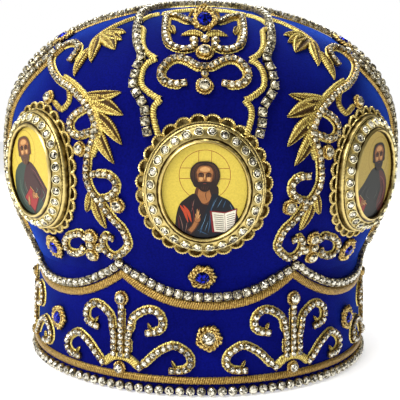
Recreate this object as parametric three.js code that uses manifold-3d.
// A bishop's mitre: a rounded crown of blue velvet on a straight head band, open below. Oval pictures in
// stone-set metal frames, cup chain, gold cord, leaves and gem flowers are sewn onto the velvet.
// Units are millimetres, +Z is up, the origin is the middle of the rim, and the front faces -Y.
// Left and right are as seen by someone who stands in front of that side.
import * as THREE from 'three';
import { mergeVertices } from 'three/addons/utils/BufferGeometryUtils.js';
import Module from 'manifold-3d';

const wasm = await Module();
wasm.setup();

// Velvet body
const RIM_RADIUS = 100;
const NECK_RADIUS = 98;
const BULGE_RADIUS = 114.5;
const BAND_HEIGHT = 58;
const BULGE_HEIGHT = 112;
const CROWN_HEIGHT = 202;
const WALL = 3;
const SWELL = 1.1;         // how late the crown swells above the neck
const DOME_FLAT = 3;       // how flat the top is
const DOME_ROUND = 1.9;    // how round the shoulder is
const SEAM = 0.3;          // clearance between two pieces that touch

// Trim
const CHAIN_WIDTH = 4;
const CHAIN_THICK = 3;
const CORD_WIDTH = 3.6;
const CORD_THICK = 1.7;
const RIM_CHAIN_WIDTH = 4;
const RIM_CHAIN_THICK = 4.2;
const LEAF_THICK = 2.2;
const FLOWER_RADIUS = 6.6;
const FLOWER_HEIGHT = 4.4;
const STONE_RADIUS = 3.2;
const TOP_RING_RADIUS = 36;
const LONGEST_STEP = 17;   // between two bends of a strip

// Medallions
const PICTURE_HALF_WIDTH = 19.3;
const PICTURE_HALF_HEIGHT = 21.9;
const PICTURE_THICK = 2.6;
const BEZEL_HIGH = 4.8;
const RING_WIDTH = 8;
const RING_EDGE_HIGH = 3.4;
const FLANGE_WIDTH = 13.2;
const FLANGE_THICK = 2.2;

// Pattern, in degrees round the crown
const SIDE_MEDALLION_AT = 48;
const SCALLOP_STEP = 51.4;
const BAND_TURN = 2;       // the band's pattern is sewn on a little to the right of the crown's

const velvet = { color: 0x0b1692, roughness: 0.75, metalness: 0 };
const crystal = { color: 0xc9ccd0, roughness: 0.15, metalness: 0.3 };
const gold = { color: 0xc79a3c, roughness: 0.45, metalness: 0.7 };
const pale = { color: 0xcfc184, roughness: 0.3, metalness: 0.9 };
const enamel = { color: 0xe0c84f, roughness: 0.25, metalness: 0.1 };
const sapphire = { color: 0x1420a8, roughness: 0.08, metalness: 0.1 };

const radians = THREE.MathUtils.degToRad;
const degrees = THREE.MathUtils.radToDeg;
const mitre = new THREE.Group();

// The velvet's outline from the rim to the top, as points with the length walked so far
function walkOutline() {
  const steps = 160;
  const points = [];
  for (let i = 0; i <= steps; i++) {
    const v = i / steps;
    points.push({ r: THREE.MathUtils.lerp(RIM_RADIUS, NECK_RADIUS, v), z: BAND_HEIGHT * v });
  }
  for (let i = 1; i <= steps; i++) {
    const v = i / steps;
    const swell = Math.sin(v ** SWELL * Math.PI / 2);
    points.push({
      r: THREE.MathUtils.lerp(NECK_RADIUS, BULGE_RADIUS, swell),
      z: THREE.MathUtils.lerp(BAND_HEIGHT, BULGE_HEIGHT, v),
    });
  }
  for (let i = 1; i <= steps; i++) {
    const rise = Math.sin(i / steps * Math.PI / 2);
    points.push({
      r: BULGE_RADIUS * Math.max(0, 1 - rise ** DOME_FLAT) ** (1 / DOME_ROUND),
      z: THREE.MathUtils.lerp(BULGE_HEIGHT, CROWN_HEIGHT, rise),
    });
  }
  points[0].length = 0;
  for (let i = 1; i < points.length; i++) {
    const step = Math.hypot(points[i].r - points[i - 1].r, points[i].z - points[i - 1].z);
    points[i].length = points[i - 1].length + step;
  }
  return points;
}

const outline = walkOutline();
const BAND_LENGTH = Math.hypot(RIM_RADIUS - NECK_RADIUS, BAND_HEIGHT);
const CROWN_LENGTH = outline[outline.length - 1].length - BAND_LENGTH;

// Radius, height and outward normal of the velvet at a length up from the neck, down from it when negative
function outlineAt(up) {
  const length = THREE.MathUtils.clamp(up + BAND_LENGTH, 0, BAND_LENGTH + CROWN_LENGTH);
  let i = outline.findIndex((point) => point.length >= length);
  i = THREE.MathUtils.clamp(i, 1, outline.length - 1);
  const low = outline[i - 1];
  const high = outline[i];
  const t = (length - low.length) / (high.length - low.length);
  const before = outline[Math.max(0, i - 3)];
  const after = outline[Math.min(outline.length - 1, i + 2)];
  const run = Math.hypot(after.r - before.r, after.z - before.z);
  return {
    r: THREE.MathUtils.lerp(low.r, high.r, t),
    z: THREE.MathUtils.lerp(low.z, high.z, t),
    outward: (after.z - before.z) / run,
    upward: (before.r - after.r) / run,
  };
}

function onVelvet(azimuth, up, lift) {
  const at = outlineAt(up);
  const r = at.r + lift * at.outward;
  const a = radians(azimuth);
  return new THREE.Vector3(r * Math.sin(a), -r * Math.cos(a), at.z + lift * at.upward);
}

function normalAt(azimuth, up) {
  return onVelvet(azimuth, up, 1).sub(onVelvet(azimuth, up, 0)).normalize();
}

// Places are pairs: degrees from the front, and a share of the crown's length up from the neck
function onCrown(places) {
  return places.map(([azimuth, share]) => ({ azimuth, up: share * CROWN_LENGTH }));
}

// Places are pairs: degrees from the front, and a share of the band's height up from the rim
function onBand(places) {
  return places.map(([azimuth, share]) => ({ azimuth, up: (share - 1) * BAND_LENGTH }));
}

// Adds places along the steps that are too long to keep close to the velvet
function closeTo(places) {
  const filled = [places[0]];
  for (let i = 1; i < places.length; i++) {
    const from = places[i - 1];
    const to = places[i];
    const across = radians(to.azimuth - from.azimuth) * outlineAt((from.up + to.up) / 2).r;
    const parts = Math.ceil(Math.hypot(across, to.up - from.up) / LONGEST_STEP);
    for (let part = 1; part <= parts; part++) {
      const t = part / parts;
      filled.push({
        azimuth: THREE.MathUtils.lerp(from.azimuth, to.azimuth, t),
        up: THREE.MathUtils.lerp(from.up, to.up, t),
      });
    }
  }
  return filled;
}

function mirrored(places) {
  return places.map(([azimuth, share]) => [-azimuth, share]);
}

// A line over the velvet through its places, whose cross-section keeps flat on the velvet
class SewnLine extends THREE.Curve {
  constructor(places, lift) {
    super();
    this.places = places;
    this.points = places.map(({ azimuth, up }) => onVelvet(azimuth, up, lift));
  }
  getPoint(t) {
    return this.points[Math.round(t * (this.points.length - 1))].clone();
  }
  getPointAt(t) {
    return this.getPoint(t);
  }
  computeFrenetFrames() {
    const tangents = [];
    const normals = [];
    const binormals = [];
    this.places.forEach(({ azimuth, up }, i) => {
      const before = this.points[Math.max(0, i - 1)];
      const after = this.points[Math.min(this.points.length - 1, i + 1)];
      const tangent = after.clone().sub(before).normalize();
      const normal = normalAt(azimuth, up);
      const binormal = tangent.clone().cross(normal).normalize();
      tangents.push(tangent);
      normals.push(normal);
      binormals.push(binormal);
    });
    return { tangents, normals, binormals };
  }
}

// A ridged strip: flat below, with one edge along its middle
function strip(route, width, thick, lift = SEAM) {
  const places = closeTo(route);
  const section = new THREE.Shape();
  section.moveTo(0, -width / 2);
  section.lineTo(thick, 0);
  section.lineTo(0, width / 2);
  section.closePath();
  const path = new SewnLine(places, lift);
  const steps = places.length - 1;
  return new THREE.ExtrudeGeometry(section, { steps, bevelEnabled: false, extrudePath: path });
}

function chain(places, lift) {
  return strip(places, CHAIN_WIDTH, CHAIN_THICK, lift);
}

function cord(places, lift) {
  return strip(places, CORD_WIDTH, CORD_THICK, lift);
}

// Moves a flat ornament (x across, y up, z off the velvet) onto the velvet, turned by an angle
function sewOn(geometry, azimuth, up, turn = 0) {
  const position = geometry.getAttribute('position');
  for (let i = 0; i < position.count; i++) {
    const flat = new THREE.Vector2(position.getX(i), position.getY(i)).rotateAround(new THREE.Vector2(), turn);
    const around = degrees(flat.x / outlineAt(up + flat.y).r);
    const place = onVelvet(azimuth + around, up + flat.y, position.getZ(i));
    position.setXYZ(i, place.x, place.y, place.z);
  }
  return geometry;
}

// A leaf: a low four-sided point between its base and its tip
function leaf(base, tip, width) {
  const middle = { azimuth: (base.azimuth + tip.azimuth) / 2, up: (base.up + tip.up) / 2 };
  const across = radians(tip.azimuth - base.azimuth) * outlineAt(middle.up).r;
  const rise = tip.up - base.up;
  const blade = new THREE.ConeGeometry(1, LEAF_THICK, 4).rotateX(Math.PI / 2);
  blade.scale(Math.hypot(across, rise) / 2, width / 2, 1).translate(0, 0, LEAF_THICK / 2 + SEAM);
  return sewOn(blade, middle.azimuth, middle.up, Math.atan2(rise, across));
}

// Five wire petals and a stone, as one low cone with a flat top
function flower(up) {
  const profile = [
    new THREE.Vector2(0, SEAM),
    new THREE.Vector2(FLOWER_RADIUS, SEAM),
    new THREE.Vector2(FLOWER_RADIUS * 0.85, FLOWER_HEIGHT * 0.55),
    new THREE.Vector2(STONE_RADIUS * 0.8, FLOWER_HEIGHT),
    new THREE.Vector2(0, FLOWER_HEIGHT),
  ];
  return sewOn(new THREE.LatheGeometry(profile, 8).rotateX(Math.PI / 2), 0, up);
}

function solid(geometry) {
  geometry.deleteAttribute('normal');
  geometry.deleteAttribute('uv');
  const merged = mergeVertices(geometry, 1e-4);
  return new wasm.Manifold(new wasm.Mesh({
    numProp: 3,
    vertProperties: new Float32Array(merged.getAttribute('position').array),
    triVerts: new Uint32Array(merged.index.array),
  }));
}

function fused(geometries) {
  const body = geometries.map(solid).reduce((joined, next) => joined.add(next));
  const mesh = body.getMesh();
  const geometry = new THREE.BufferGeometry();
  geometry.setAttribute('position', new THREE.BufferAttribute(new Float32Array(mesh.vertProperties), 3));
  geometry.setIndex(new THREE.BufferAttribute(new Uint32Array(mesh.triVerts), 1));
  return geometry;
}

function add(name, geometry, look, azimuth = 0) {
  const mesh = new THREE.Mesh(geometry, new THREE.MeshStandardMaterial(look));
  mesh.name = name;
  mesh.rotation.z = radians(azimuth);
  mitre.add(mesh);
}

// A closed loft of rows of points, each row a closed loop with as many points, the last joined to the first
function ringLoft(rows) {
  const count = rows[0].length;
  const index = [];
  rows.forEach((row, i) => {
    const next = (i + 1) % rows.length;
    for (let j = 0; j < count; j++) {
      const k = (j + 1) % count;
      index.push(i * count + j, i * count + k, next * count + j);
      index.push(i * count + k, next * count + k, next * count + j);
    }
  });
  const geometry = new THREE.BufferGeometry().setFromPoints(rows.flat());
  geometry.setIndex(index);
  return geometry;
}

// Velvet: the crown is a hollow dome, the head band a straight-sided ring under it
const DOME_FACETS = 36;

function insideOf(up) {
  const at = outlineAt(up);
  return new THREE.Vector2(Math.max(0, at.r - WALL * at.outward), at.z - WALL * at.upward);
}

function crownShell() {
  const rows = 12;
  const innerRows = 7;
  const innerTop = CROWN_HEIGHT - WALL;
  const profile = [new THREE.Vector2(0, innerTop)];
  for (let i = innerRows; i > 0; i--) {
    profile.push(insideOf(CROWN_LENGTH * i / (innerRows + 1)));
  }
  profile.push(new THREE.Vector2(NECK_RADIUS - WALL, BAND_HEIGHT + SEAM));
  profile.push(new THREE.Vector2(NECK_RADIUS, BAND_HEIGHT + SEAM));
  for (let i = 1; i < rows; i++) {
    const at = outlineAt(CROWN_LENGTH * i / rows);
    profile.push(new THREE.Vector2(at.r, at.z));
  }
  profile.push(new THREE.Vector2(0, CROWN_HEIGHT));
  return new THREE.LatheGeometry(profile, DOME_FACETS).rotateX(Math.PI / 2);
}

// A closed profile turned about the mitre's axis
function turned(corners, facets) {
  const profile = corners.map(([r, z]) => new THREE.Vector2(r, z));
  profile.push(profile[0].clone());
  return new THREE.LatheGeometry(profile, facets).rotateX(Math.PI / 2);
}

add('crown_shell', crownShell(), velvet);
add('head_band', turned([
  [RIM_RADIUS - WALL, 0],
  [RIM_RADIUS, 0],
  [NECK_RADIUS, BAND_HEIGHT],
  [NECK_RADIUS - WALL, BAND_HEIGHT],
], DOME_FACETS), velvet);

// Rim: a chain of round stones at the foot of the band, and a gold cord just above it
const RIM_CORD_AT = 7.4;
const rimChainAt = RIM_CHAIN_WIDTH / 2 + SEAM;

function rimRing(middle, width, thick) {
  const foot = RIM_RADIUS + SEAM;
  const slope = (RIM_RADIUS - NECK_RADIUS) / BAND_HEIGHT;
  return turned([
    [foot - slope * (middle - width / 2), middle - width / 2],
    [foot - slope * middle + thick, middle],
    [foot - slope * (middle + width / 2), middle + width / 2],
  ], DOME_FACETS);
}

add('rim_chain', rimRing(rimChainAt, RIM_CHAIN_WIDTH, RIM_CHAIN_THICK), crystal);
add('rim_cord', rimRing(RIM_CORD_AT, CORD_WIDTH, CORD_THICK), gold);

// Scallops: swags that hang between peaks, three wide ones front and back and a short one at each side
const SWAG_POWER = 2.3;
const FULL = SCALLOP_STEP / 2;
const SHORT = 90 - 3 * FULL;
const swags = [-2, 0, 2].flatMap((i) => [
  { centre: i * FULL, half: FULL, steps: 6 },
  { centre: 180 + i * FULL, half: FULL, steps: 6 },
]);
swags.push({ centre: -90, half: SHORT, steps: 4 }, { centre: 90, half: SHORT, steps: 4 });
swags.sort((a, b) => a.centre - b.centre);

// low and peak are shares of the band's height
function swagRing(low, peak, width, thick) {
  const rows = [-width / 2, 0, width / 2].map((offset, row) => swags.flatMap(({ centre, half, steps }) => {
    const stations = [];
    for (let i = 0; i < steps; i++) {
      const t = 2 * i / steps - 1;
      const depth = (peak - low) * half / FULL;
      const share = peak - depth * (1 - Math.abs(t) ** SWAG_POWER);
      const up = (share - 1) * BAND_LENGTH + offset;
      stations.push(onVelvet(centre + t * half + BAND_TURN, up, row === 1 ? thick : SEAM));
    }
    return stations;
  }));
  return ringLoft(rows);
}

add('scallop_chain', swagRing(0.85, 1.13, CHAIN_WIDTH, CHAIN_THICK), crystal);
add('scallop_cord', swagRing(0.772, 1.02, CORD_WIDTH, CORD_THICK), gold);

// Fleurs on the band: a stem with two scrolls above and two below, on an arched foot.
// Columns: degrees from the stem, share of the band's height.
const upperScroll = [[1.4, 0.42], [3.4, 0.6], [6.4, 0.71], [10.4, 0.715], [12.5, 0.62], [8.8, 0.53]];
const lowerScroll = [[4.6, 0.215], [9, 0.3], [13.4, 0.41], [18, 0.405], [20.4, 0.3], [16, 0.215]];
const footArch = [[-6.2, 0.205], [-3, 0.255], [0, 0.272], [3, 0.255], [6.2, 0.205]];
const STEM_TOP = 0.83;
const SIDE_SQUEEZE = 0.82;   // the scrolls that meet another fleur at the side are drawn in

function fleur(left, right) {
  const pieces = [
    strip(onBand([[0, 0.23], [0, 0.5], [0, STEM_TOP]]), 2.2 * CHAIN_WIDTH, CHAIN_THICK),
    cord(onBand(footArch), 1.6 * SEAM),
  ];
  for (const [sign, shape] of [[-1, left], [1, right]]) {
    const upper = upperScroll.map(([x, share]) => [sign * x * (shape.lower ? 1 : SIDE_SQUEEZE), share]);
    pieces.push(chain(onBand(upper), 1.3 * SEAM));
    if (shape.lower) {
      const lower = lowerScroll.map(([x, share]) => [sign * x, share]);
      pieces.push(chain(onBand(lower), 2 * SEAM));
    }
  }
  return fused(pieces);
}

const open = { lower: true };
const drawnIn = { lower: false };
for (const [face, turn] of [['front', 0], ['back', 180]]) {
  add(`fleur_${face}_left`, fleur(open, open), crystal, turn - FULL + BAND_TURN);
  add(`fleur_${face}_right`, fleur(open, open), crystal, turn + FULL + BAND_TURN);
  add(`fleur_${face}_far_left`, fleur(drawnIn, open), crystal, turn - 3 * FULL + BAND_TURN);
  add(`fleur_${face}_far_right`, fleur(open, drawnIn), crystal, turn + 3 * FULL + BAND_TURN);
  for (const [side, at] of [['left', -2 * FULL], ['middle', 0], ['right', 2 * FULL]]) {
    const look = side === 'middle' ? crystal : sapphire;
    add(`band_flower_${face}_${side}`, flower(-0.5 * BAND_LENGTH), look, turn + at + BAND_TURN);
  }
}

// Medallions: a flat oval picture in a raised ring, whose outer edge and flange follow the velvet
const OVAL_FACETS = 20;

function medallionFrame(up) {
  const across = new THREE.Vector3(1, 0, 0);
  const out = normalAt(0, up);
  const rise = out.clone().cross(across);
  const centre = onVelvet(0, up, 0);
  const onPlate = (x, y, high) => centre.clone().addScaledVector(across, x).addScaledVector(rise, y)
    .addScaledVector(out, high);
  const onFoot = (x, y, high) => onVelvet(degrees(x / outlineAt(up + y).r), up + y, high);
  // Columns: how far outside the picture, how high, and what the height is measured from
  const section = [
    [FLANGE_WIDTH, SEAM, onFoot],
    [RING_WIDTH + FLANGE_THICK, FLANGE_THICK, onFoot],
    [RING_WIDTH, RING_EDGE_HIGH, onFoot],
    [SEAM, BEZEL_HIGH, onPlate],
    [SEAM, SEAM, onFoot],
  ];
  return ringLoft(section.map(([wide, high, from]) => {
    const row = [];
    for (let i = 0; i < OVAL_FACETS; i++) {
      const a = 2 * Math.PI * i / OVAL_FACETS;
      row.push(from(
        (PICTURE_HALF_WIDTH + wide) * Math.cos(a),
        (PICTURE_HALF_HEIGHT + wide) * Math.sin(a),
        high,
      ));
    }
    return row;
  }));
}

function medallionPicture(up) {
  const plate = new THREE.CylinderGeometry(1, 1, PICTURE_THICK, OVAL_FACETS).rotateX(Math.PI / 2);
  const out = normalAt(0, up);
  const centre = onVelvet(0, up, SEAM + PICTURE_THICK / 2);
  const basis = new THREE.Matrix4().makeBasis(
    new THREE.Vector3(1, 0, 0),
    out.clone().cross(new THREE.Vector3(1, 0, 0)),
    out,
  );
  plate.scale(PICTURE_HALF_WIDTH, PICTURE_HALF_HEIGHT, 1);
  return plate.applyMatrix4(basis.setPosition(centre));
}

// Vines beside the front medallion. Columns: degrees from the front, share of the crown's length.
const vineStem = [
  [25.4, 0.104], [27.6, 0.082], [24.4, 0.054], [20.2, 0.077], [20.6, 0.118], [23.9, 0.162], [27, 0.192],
  [28.9, 0.235], [28.1, 0.288], [26, 0.335], [28.5, 0.378], [33.9, 0.412], [40, 0.438], [46.4, 0.472],
  [50.4, 0.512], [49.2, 0.546], [44.2, 0.552], [40.2, 0.534], [39.5, 0.499],
];
const vineLoops = [
  [[26.3, 0.331], [29.2, 0.321], [32.6, 0.326], [33.8, 0.349], [32.2, 0.366], [28.5, 0.378]],
  [[26.6, 0.189], [23.2, 0.193], [21, 0.215], [22, 0.238], [25.2, 0.244]],
  [[27.4, 0.078], [31, 0.078], [34.4, 0.1], [38.9, 0.09], [41.6, 0.063], [38.6, 0.046], [35, 0.06]],
];
const vineHook = [[36.7, 0.424], [35.5, 0.398], [37, 0.385], [39.6, 0.392]];
// Each leaf: base, tip, and its width in millimetres
const vineLeaves = [
  [[30.6, 0.4], [20.4, 0.41], 7],
  [[30, 0.394], [19.4, 0.364], 8],
  [[27.2, 0.36], [19.2, 0.305], 6],
  [[26.8, 0.347], [21.4, 0.263], 7],
  [[27.6, 0.207], [30.4, 0.159], 5],
  [[27, 0.198], [25.4, 0.123], 5],
];

function leaves(list, sign) {
  return list.map(([base, tip, width]) => {
    const [from, to] = onCrown([[sign * base[0], base[1]], [sign * tip[0], tip[1]]]);
    return leaf(from, to, width);
  });
}

function vine(sign) {
  const turnedTo = (places) => onCrown(sign < 0 ? mirrored(places) : places);
  return fused([
    chain(turnedTo(vineStem)),
    ...vineLoops.map((loop, i) => chain(turnedTo(loop), (1.4 + 0.3 * i) * SEAM)),
    cord(turnedTo(vineHook), 2.4 * SEAM),
    ...leaves(vineLeaves, sign),
  ]);
}

// The panel over the front medallion: wavy chain and cord at each side, up to a ring round the top
const panelChain = [
  [12.9, 0.345], [13.8, 0.38], [16.4, 0.414], [17.2, 0.444], [16.4, 0.48], [18.4, 0.525], [21, 0.575],
  [25, 0.64], [29, 0.7],
];
const panelCord = [
  [10.9, 0.356], [11.3, 0.373], [10.1, 0.391], [13, 0.414], [14.2, 0.448], [13.4, 0.478], [11.4, 0.494],
  [15, 0.53], [17, 0.58], [20.4, 0.612], [20.6, 0.66], [18, 0.684],
];
const sideChain = [
  [45, 0.735], [58, 0.67], [66, 0.6], [68.4, 0.52], [70, 0.45], [71.5, 0.38], [73, 0.32], [75, 0.25],
  [76.4, 0.17], [77, 0.1], [77, 0.062],
];
const sideCord = [
  [53.5, 0.52], [57, 0.465], [62, 0.42], [66.4, 0.372], [69.6, 0.32], [71.6, 0.25], [72.8, 0.17], [73.2, 0.075],
];
const shoulderLeaves = [
  [[36, 0.585], [31.9, 0.484], 7],
  [[35.5, 0.53], [36.4, 0.451], 5],
  [[35.6, 0.585], [25.6, 0.535], 6],
  [[35.6, 0.59], [26, 0.57], 6],
];
const shoulderStem = [[36, 0.57], [33.4, 0.625], [27.6, 0.678]];
const topShare = 1 - TOP_RING_RADIUS / CROWN_LENGTH;
const ringTie = topShare + 0.005;      // where the panel and side chains run under the ring
const PANEL_CHAIN_TOP = 31;
const SIDE_CHAIN_TOP = 36;

function armChains() {
  const ring = [];
  for (let azimuth = -84; azimuth <= 84; azimuth += 21) {
    ring.push([azimuth, topShare]);
  }
  const pieces = [chain(onCrown(ring))];
  for (const sign of [-1, 1]) {
    const side = (places) => onCrown(places.map(([azimuth, share]) => [sign * azimuth, share]));
    pieces.push(chain(side([...panelChain, [PANEL_CHAIN_TOP, ringTie]]), 1.4 * SEAM));
    pieces.push(chain(side([[SIDE_CHAIN_TOP, ringTie], ...sideChain]), 1.8 * SEAM));
    pieces.push(cord(side(shoulderStem), 2.2 * SEAM));
    pieces.push(...leaves(shoulderLeaves, sign));
  }
  return fused(pieces);
}

function panelCords() {
  const arch = [[-20, 0.672], [-10, 0.71], [0, 0.722], [10, 0.71], [20, 0.672]];
  return fused([
    cord(onCrown(panelCord)),
    cord(onCrown(mirrored(panelCord))),
    cord(onCrown(arch), 1.4 * SEAM),
  ]);
}

// Scrolls inside the panel, hung on one column from the top gem down to the drop
const lyre = [
  [0, 0.612], [5.4, 0.634], [10, 0.656], [13.8, 0.664], [13.4, 0.627], [11.8, 0.575], [9.2, 0.534], [5.2, 0.52],
  [0, 0.537],
];
const hookScroll = [[0, 0.478], [3.4, 0.487], [6.6, 0.498], [9.6, 0.486], [10.6, 0.46], [8.4, 0.441], [4.9, 0.44]];
const column = [[0, 0.422], [0, 0.48], [0, 0.54], [0, 0.58], [0, 0.62], [0, 0.655]];
const palmette = [[0, 0.645], [0, 0.695], 12];

function panelScrolls() {
  return fused([
    chain(onCrown(column), 1.3 * SEAM),
    ...[lyre, mirrored(lyre), hookScroll, mirrored(hookScroll)]
      .map((scroll, i) => chain(onCrown(scroll), (1.4 + 0.3 * i) * SEAM)),
    ...leaves([palmette], 1),
  ]);
}

const FRONT_MEDALLION_SHARE = 0.214;
const SIDE_MEDALLION_SHARE = 0.24;
const NECK_GEM_SHARE = 0.009;
const SIDE_GEM_SHARE = 0.052;
const SHOULDER_GEM = [58, 0.6];

for (const [face, turn] of [['front', 0], ['back', 180]]) {
  const medallions = [
    ['left', -SIDE_MEDALLION_AT, SIDE_MEDALLION_SHARE, SIDE_GEM_SHARE],
    ['middle', 0, FRONT_MEDALLION_SHARE, NECK_GEM_SHARE],
    ['right', SIDE_MEDALLION_AT, SIDE_MEDALLION_SHARE, SIDE_GEM_SHARE],
  ];
  for (const [side, at, share, gemShare] of medallions) {
    add(`medallion_frame_${face}_${side}`, medallionFrame(share * CROWN_LENGTH), pale, turn + at);
    add(`medallion_picture_${face}_${side}`, medallionPicture(share * CROWN_LENGTH), enamel, turn + at);
    add(`neck_gem_${face}_${side}`, flower(gemShare * CROWN_LENGTH), sapphire, turn + at);
  }
  for (const [side, sign] of [['left', -1], ['right', 1]]) {
    const [gem] = onCrown([SHOULDER_GEM]);
    const sideCordPlaces = onCrown(sign < 0 ? mirrored(sideCord) : sideCord);
    add(`vine_${face}_${side}`, vine(sign), crystal, turn);
    add(`side_cord_${face}_${side}`, cord(sideCordPlaces), gold, turn);
    add(`shoulder_gem_${face}_${side}`, flower(gem.up), sapphire, turn + sign * gem.azimuth);
  }
  add(`arm_chain_${face}`, armChains(), crystal, turn);
  add(`panel_cord_${face}`, panelCords(), gold, turn);
  add(`panel_scrolls_${face}`, panelScrolls(), crystal, turn);
}

// The top is finished with one gem flower inside the ring
const topFlower = new THREE.LatheGeometry([
  new THREE.Vector2(0, SEAM),
  new THREE.Vector2(FLOWER_RADIUS * 1.6, SEAM),
  new THREE.Vector2(FLOWER_RADIUS * 1.3, FLOWER_HEIGHT * 0.5),
  new THREE.Vector2(STONE_RADIUS, FLOWER_HEIGHT),
  new THREE.Vector2(0, FLOWER_HEIGHT),
], 12).rotateX(Math.PI / 2);
topFlower.translate(0, 0, CROWN_HEIGHT);
add('top_gem', topFlower, sapphire);

export default mitre;
